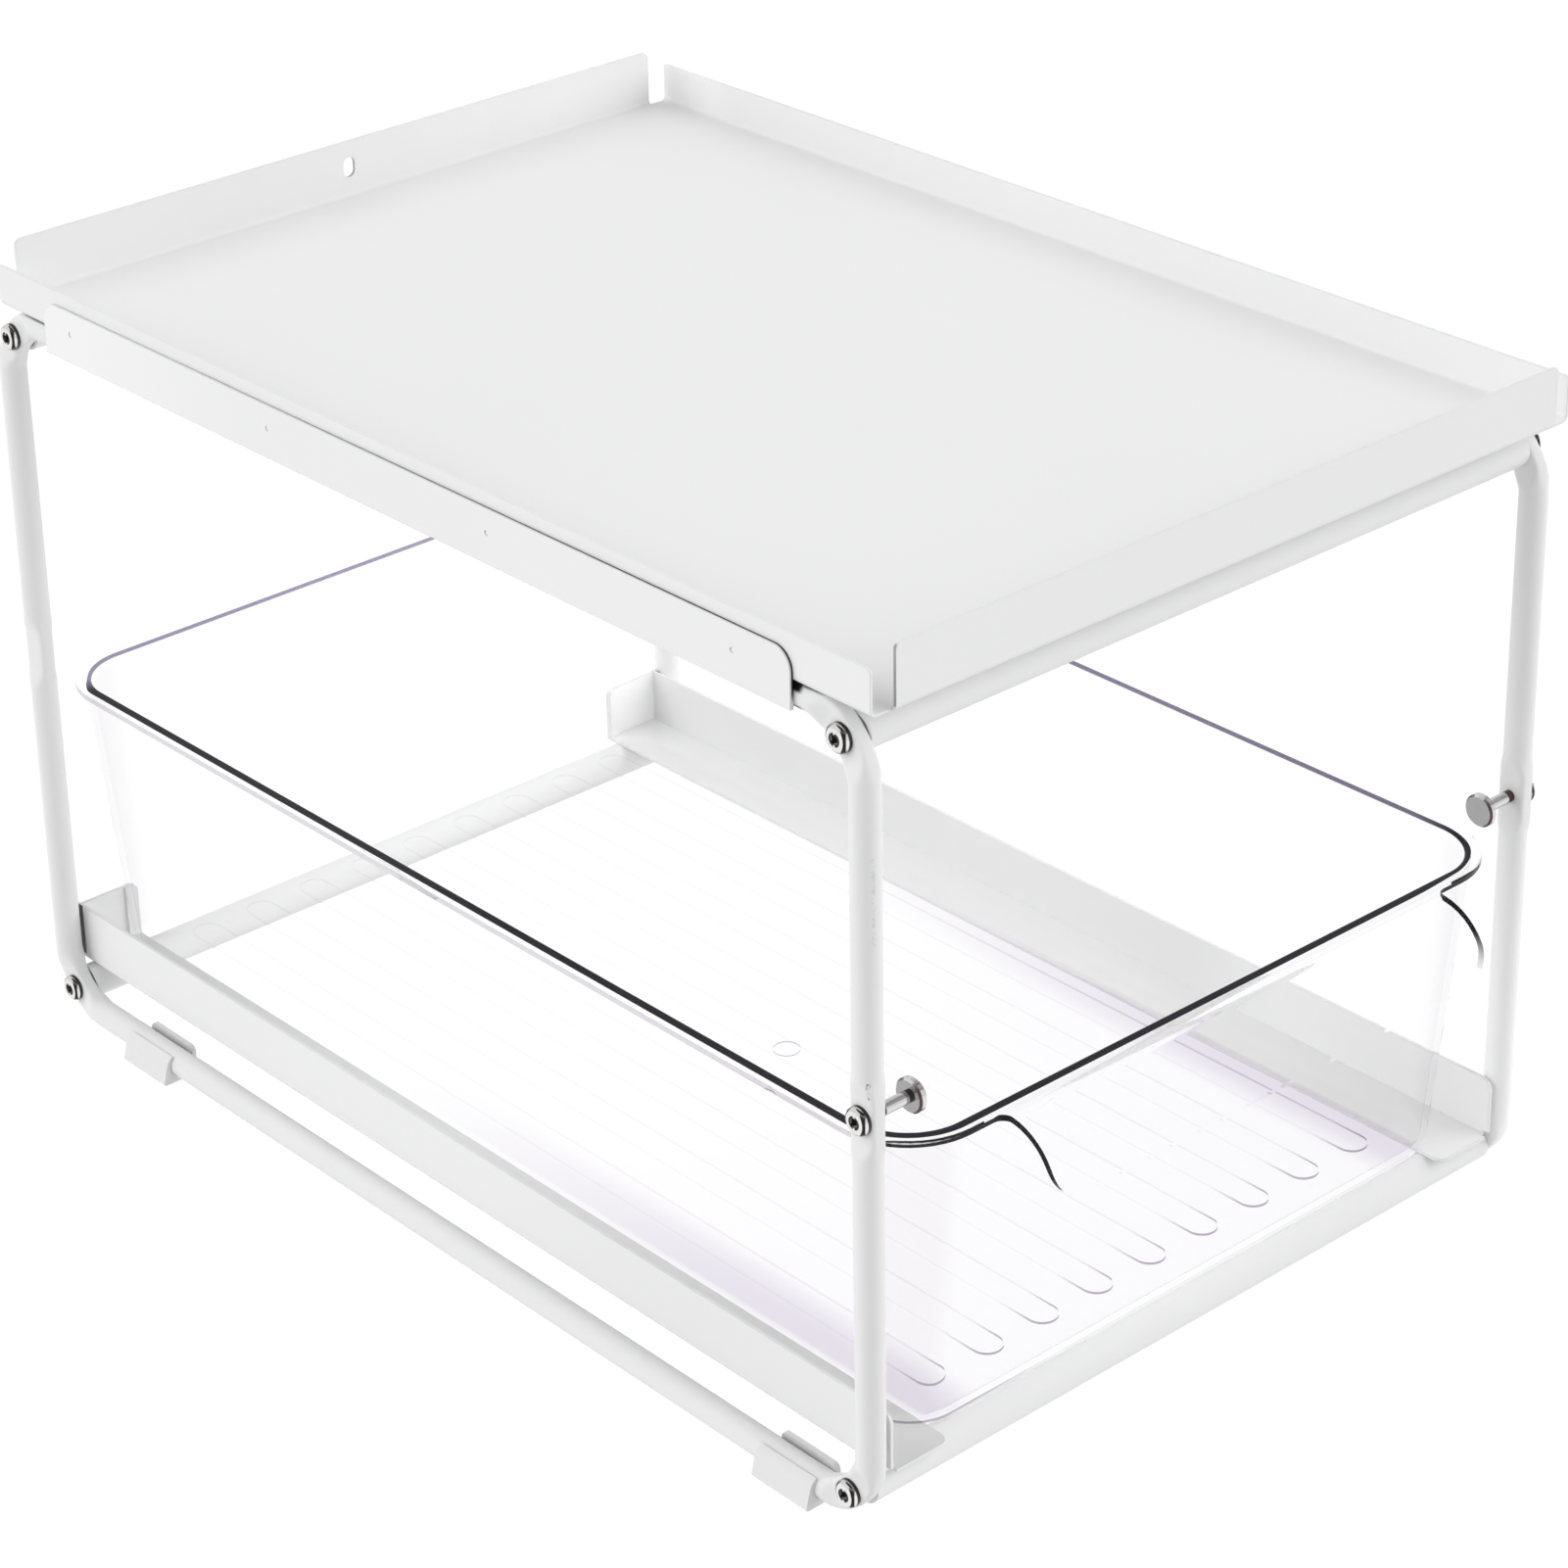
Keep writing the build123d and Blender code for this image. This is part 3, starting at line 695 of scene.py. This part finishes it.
def line_mask(tree, x, y, z, distance, back, lip, facing_x):
    reach = smooth_range(tree, x, *LINE_WIDE_X, LINE_WIDE_LEFT, LINE_WIDE_RIGHT)
    reach = mix_value(tree, back, reach, LINE_WIDE_BACK)
    front_reach = smooth_range(tree, x, *LINE_CORNER_X, LINE_WIDE_FRONT, LINE_WIDE_CORNER)
    reach = mix_value(tree, falling(tree, y, *LINE_FRONT_Y), reach, front_reach)
    within = math_node(tree, "LESS_THAN", distance, reach)
    mouth = times(tree, rising(tree, distance, *LINE_START), within,
                  rising(tree, z, *(RIM_Z - below for below in LINE_TOP)))
    taper = mix_value(tree, rising(tree, x, *MIDDLE_X), 1.0, rising(tree, z, *LIP_TAPER_Z))
    lip_edges = times(tree, lip, rising(tree, size(tree, facing_x), *LIP_SIDEWAYS), taper)
    return most(tree, mouth, lip_edges)


def line_shader(tree, x, y, back):
    line = add(tree, "ShaderNodeBsdfPrincipled")
    right_run = times(tree, rising(tree, x, *RIGHT_RUN_X, RIGHT_RUN_MAUVE),
                      rising(tree, y, *RIGHT_RUN_Y))
    painted_lines = mix_colour(tree, most(tree, back, right_run), LINE_PAINTED_DARK, LINE_MAUVE)
    tree.links.new(painted_lines, line.inputs["Base Color"])
    line.inputs["Roughness"].default_value = LINE_ROUGHNESS
    line.inputs["Specular IOR Level"].default_value = LINE_SPECULAR
    return line


def mix_shader(tree, factor, first, second):
    node = add(tree, "ShaderNodeMixShader")
    for index, socket in enumerate((factor, first, second)):
        tree.links.new(socket, node.inputs[index])
    return node.outputs["Shader"]


# Clear moulding: walls as good as invisible, a rim that bends light, and the painted lines and casts
# above.
# Matt surfaces and shadows see through it.
CLEAR_FLOW = (30.0, 2.0)
CLEAR_FLOW_STRENGTH = 0.05
CLEAR_FLOW_HEIGHT = 0.001
CLEAR_PASS = (0.985, 0.985, 0.985, 1)


def clear_plastic():
    material, tree = new_tree("clear_plastic")
    coords = add(tree, "ShaderNodeTexCoord")
    x, y, z = axes(tree, coords, "Object")
    facing_x, _, facing_z = axes(tree, coords, "Normal")
    distance = mouth_distance(tree, x, y)
    rim, lip, long_run, bend = clear_zones(tree, x, y, z)

    # Painted refraction cast, painted corner grey and painted lines in the base colour
    tone = mix_colour(tree, painted_floor_cast(tree, x, y, z), CLEAR_TONE, PAINTED_CAST_TONE)
    tone = mix_colour(tree, painted_corner_grey(tree, x, y, z), tone, PAINTED_CORNER_GREY)
    painted_lines = most(tree, painted_rib_lines(tree, x, y, z, facing_x, facing_z),
               painted_rim_outline(tree, x, distance, long_run, rim, facing_x))
    tone = mix_colour(tree, painted_lines, tone, PAINTED_LINE_TONE)

    shader = add(tree, "ShaderNodeBsdfPrincipled")
    shader.inputs["Transmission Weight"].default_value = 1.0
    shader.inputs["Roughness"].default_value = 0.0
    tree.links.new(bend, shader.inputs["IOR"])
    tree.links.new(tone, shader.inputs["Base Color"])
    flow = bumps(tree, grain(tree, coords, *CLEAR_FLOW), CLEAR_FLOW_STRENGTH, CLEAR_FLOW_HEIGHT)
    join(tree, flow, "Normal", shader, "Normal")

    back = rising(tree, y, *BACK_RUN_Y)
    # Painted dark line at the mouth's edge and the lip's side edges
    dark = line_mask(tree, x, y, z, distance, back, lip, facing_x)
    line = line_shader(tree, x, y, back)
    body = mix_shader(tree, dark, shader.outputs["BSDF"], line.outputs["BSDF"])

    clear = add(tree, "ShaderNodeBsdfTransparent")
    clear.inputs["Color"].default_value = CLEAR_PASS
    path = add(tree, "ShaderNodeLightPath")
    for ray in ("Is Diffuse Ray", "Is Shadow Ray"):
        body = mix_shader(tree, path.outputs[ray], body, clear.outputs["BSDF"])
    tree.links.new(body, add(tree, "ShaderNodeOutputMaterial").inputs["Surface"])
    return material


# Painted reflection tones of the chrome: flat face, straight side
SCREW_TONES = (0.8, 0.05)
INSERT_TONES = (0.7, 0.7)
PIN_TONES = (0.38, 0.72)

FINISH = {
    "powder_coat": powder_coat(None),
    "chrome": chrome(*SCREW_TONES, SCREW_BANDS, False),
    "foot_plastic": foot_plastic(),
    "insert_steel": chrome(*INSERT_TONES, SCREW_BANDS, False),
    "clear_plastic": clear_plastic(),
}
# Pieces whose finish has its own painted shade and painted light, and the pins' own painted
# reflections, by the start of their names
OWN_FINISH = {
    "retaining_pin": chrome(*PIN_TONES, PIN_BANDS, True),
    "apron": powder_coat(apron_painted_shading),
    "rail": powder_coat(rail_painted_shading),
    "tray": powder_coat(tray_painted_shading),
}
TUBE_COAT = powder_coat(tube_painted_shading_and_scuffs)


def finish_nodes():
    for part in frame["record"]["subparts"]:
        piece = nodes[part["node"]]
        piece.data.materials.clear()
        finish = FINISH[part["material_slot"]]
        for start, own in OWN_FINISH.items():
            if part["node"].startswith(start):
                finish = own
        piece.data.materials.append(finish)


# Side frames: one tube swept round a closed loop, pressed flat and a little wider where a
# screw or a pin passes, and blended back into the round tube on both sides
TUBE_R = 0.00475
LOOP_X = 0.146
LOOP_MID_Y = 0.010825
LOOP_HALF_Y = 0.2165
LOOP_LOW_Z = 0.0065
LOOP_TOP_Z = 0.278
BEND_R = 0.022
BEND_DEG = 90.0
PIN_Z = 0.14879
FLAT_HALF_X = 0.00295
FLAT_HALF_WIDE = 0.00525
FLAT_REACH = 0.0066
BLEND_REACH = 0.0145
ROUND_POWER = 2.0
FLAT_POWER = 5.0
RING_POINTS = 48
BEND_STEPS = 36
FINE_STEP = 0.0011
COARSE_STEP = 0.012


def straight_stations(start, end_place, site):
    length = (end_place - start).length
    way = (end_place - start) / length
    stations = []
    done = 0.0
    while done < length:
        place = start + way * done
        gap = abs((place - site).length) if site else BLEND_REACH * 2
        stations.append((place, way, gap))
        near = site and (place + way * COARSE_STEP - site).length < BLEND_REACH + COARSE_STEP
        done += FINE_STEP if near or gap < BLEND_REACH + COARSE_STEP else COARSE_STEP
    return stations


def bend_stations(middle, first_degrees):
    stations = []
    for step in range(BEND_STEPS):
        turned = math.radians(BEND_DEG * step / BEND_STEPS)
        angle = math.radians(first_degrees) + turned
        place = middle + Vector((math.cos(angle), math.sin(angle))) * BEND_R
        way = Vector((-math.sin(angle), math.cos(angle)))
        stations.append((place, way, abs(turned - math.radians(BEND_DEG / 2)) * BEND_R))
    return stations


def loop_stations():
    front, back = LOOP_MID_Y - LOOP_HALF_Y, LOOP_MID_Y + LOOP_HALF_Y
    low, top = LOOP_LOW_Z, LOOP_TOP_Z
    r = BEND_R
    # Each run: its start and end, the pressed place on it, the bend after it, where that starts
    runs = (
        ((front + r, low), (back - r, low), None, (back - r, low + r), -90.0),
        ((back, low + r), (back, top - r), (back, PIN_Z), (back - r, top - r), 0.0),
        ((back - r, top), (front + r, top), None, (front + r, top - r), 90.0),
        ((front, top - r), (front, low + r), (front, PIN_Z), (front + r, low + r), 180.0),
    )
    stations = []
    for start, end_place, site, middle, first_degrees in runs:
        pressed = Vector(site) if site else None
        stations += straight_stations(Vector(start), Vector(end_place), pressed)
        stations += bend_stations(Vector(middle), first_degrees)
    return stations


def tube_ring(side, place, way, gap):
    share = min(max((BLEND_REACH - gap) / (BLEND_REACH - FLAT_REACH), 0.0), 1.0)
    pressed = share * share * (3.0 - 2.0 * share)
    half_x = TUBE_R + (FLAT_HALF_X - TUBE_R) * pressed
    half_wide = TUBE_R + (FLAT_HALF_WIDE - TUBE_R) * pressed
    power = 2.0 / (ROUND_POWER + (FLAT_POWER - ROUND_POWER) * pressed)
    outward = Vector((way.y, -way.x))
    ring = []
    for index in range(RING_POINTS):
        angle = 2.0 * math.pi * index / RING_POINTS
        cosine, sine = math.cos(angle), math.sin(angle)
        x = math.copysign(abs(cosine) ** power, cosine) * half_x
        wide = math.copysign(abs(sine) ** power, sine) * half_wide
        spot = place + outward * wide
        ring.append((side * (LOOP_X + x), spot.x, spot.y))
    return ring


def add_side_frame(name, side):
    rings = [tube_ring(side, *station) for station in loop_stations()]
    points = [point for ring in rings for point in ring]
    faces = []
    count = len(rings)
    for row in range(count):
        after = (row + 1) % count
        for index in range(RING_POINTS):
            beside = (index + 1) % RING_POINTS
            face = (row * RING_POINTS + index, row * RING_POINTS + beside,
                    after * RING_POINTS + beside, after * RING_POINTS + index)
            faces.append(face if side < 0 else face[::-1])
    mesh = bpy.data.meshes.new(name)
    mesh.from_pydata(points, [], faces)
    for polygon in mesh.polygons:
        polygon.use_smooth = True
    piece = bpy.data.objects.new(name, mesh)
    bpy.context.scene.collection.objects.link(piece)
    mesh.materials.append(TUBE_COAT)
    return piece


def replace_side_frames():
    for name, side in (("left", -1), ("right", 1)):
        piece = add_side_frame("pressed_frame_" + name, side)
        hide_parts("side_frame_" + name)
        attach(piece, "frame")


# World: white to the eye. The object is lit by three broad soft lights over an even fill, and
# what is mirrored or bent by a clear wall sees a white room with a dark ceiling.
FILL_LEVEL = 0.46
# Each light: azimuth and elevation in degrees, strength
SOFT_LIGHTS = (
    (152.0, 30.0, 2.58),
    (315.0, 28.0, 2.68),
    (55.0, 40.0, 0.5),
)
LIGHT_EDGE_DEG = 42.0
LIGHT_CORE_DEG = 18.0
CEILING_START_DEG = 45.0
CEILING_FULL_DEG = 60.0
CEILING_LEVEL = 0.04


def direction(azimuth, elevation):
    turn, rise = math.radians(azimuth), math.radians(elevation)
    return Vector((math.cos(turn) * math.cos(rise), math.sin(turn) * math.cos(rise), math.sin(rise)))


def add_world():
    world = bpy.data.worlds.new("world")
    world.use_nodes = True
    bpy.context.scene.world = world
    tree = world.node_tree
    tree.nodes.clear()
    coords = add(tree, "ShaderNodeTexCoord")
    edge, core = math.cos(math.radians(LIGHT_EDGE_DEG)), math.cos(math.radians(LIGHT_CORE_DEG))
    lit = FILL_LEVEL
    for azimuth, elevation, strength in SOFT_LIGHTS:
        toward = add(tree, "ShaderNodeVectorMath", operation="DOT_PRODUCT")
        toward.inputs[1].default_value = direction(azimuth, elevation)
        join(tree, coords, "Generated", toward, 0)
        lit = math_node(tree, "ADD", rising(tree, toward.outputs["Value"], edge, core, strength), lit)
    start, full = math.sin(math.radians(CEILING_START_DEG)), math.sin(math.radians(CEILING_FULL_DEG))
    room = smooth_range(tree, axes(tree, coords, "Generated")[2], start, full, 1.0, CEILING_LEVEL)
    path = add(tree, "ShaderNodeLightPath")
    level = mix_value(tree, mirror_rays(tree, path), lit, room)
    seen = mix_value(tree, path.outputs["Is Camera Ray"], level, 1.0)
    background = add(tree, "ShaderNodeBackground")
    tree.links.new(seen, background.inputs["Strength"])
    join(tree, background, "Background", add(tree, "ShaderNodeOutputWorld"), "Surface")


# Floor: white, with the object's shadow kept faint
FLOOR_GLOW = 0.95
FLOOR_SHADE = (0.07, 0.07, 0.07, 1)
FLOOR_BOUNCE = 0.78
FLOOR_REACH = 6.0
FLOOR_GAP = 0.0002


def add_floor():
    mesh = bpy.data.meshes.new("floor")
    reach = FLOOR_REACH
    corners = [(-reach, -reach, 0), (reach, -reach, 0), (reach, reach, 0), (-reach, reach, 0)]
    mesh.from_pydata(corners, [], [(0, 1, 2, 3)])
    floor = bpy.data.objects.new("floor", mesh)
    floor.location.z = -FLOOR_GAP
    bpy.context.scene.collection.objects.link(floor)
    material, tree = new_tree("floor")
    glow = add(tree, "ShaderNodeEmission", Strength=FLOOR_GLOW)
    shade = add(tree, "ShaderNodeBsdfDiffuse")
    shade.inputs["Color"].default_value = FLOOR_SHADE
    white = add(tree, "ShaderNodeAddShader")
    join(tree, glow, "Emission", white, 0)
    join(tree, shade, "BSDF", white, 1)
    plain = add(tree, "ShaderNodeEmission", Strength=FLOOR_BOUNCE)
    path = add(tree, "ShaderNodeLightPath")
    seen = most(tree, path.outputs["Is Camera Ray"], mirror_rays(tree, path))
    both = mix_shader(tree, seen, plain.outputs["Emission"], white.outputs["Shader"])
    tree.links.new(both, add(tree, "ShaderNodeOutputMaterial").inputs["Surface"])
    mesh.materials.append(material)


# Soft fill between the tray and the drawer, which the eye and the mirrors don't see
FILL_LAMP_PLACE = (-0.07, -0.03, 0.215)
FILL_LAMP_AZIMUTH = 38.0
FILL_LAMP_DROP = 28.0
FILL_LAMP_WATTS = 0.22
FILL_LAMP_WIDE = 0.2
FILL_LAMP_TALL = 0.08


def add_fill_lamp():
    data = bpy.data.lights.new("fill", "AREA")
    data.shape = "RECTANGLE"
    data.size = FILL_LAMP_WIDE
    data.size_y = FILL_LAMP_TALL
    data.energy = FILL_LAMP_WATTS
    lamp = bpy.data.objects.new("fill", data)
    lamp.location = FILL_LAMP_PLACE
    aim = direction(FILL_LAMP_AZIMUTH, -FILL_LAMP_DROP)
    lamp.rotation_euler = aim.to_track_quat("-Z", "Y").to_euler()
    lamp.visible_camera = False
    lamp.visible_glossy = False
    lamp.visible_transmission = False
    bpy.context.scene.collection.objects.link(lamp)


add_camera()
add_world()
add_fill_lamp()
add_floor()
finish_nodes()
replace_side_frames()

bpy.context.scene.view_settings.view_transform = "Standard"
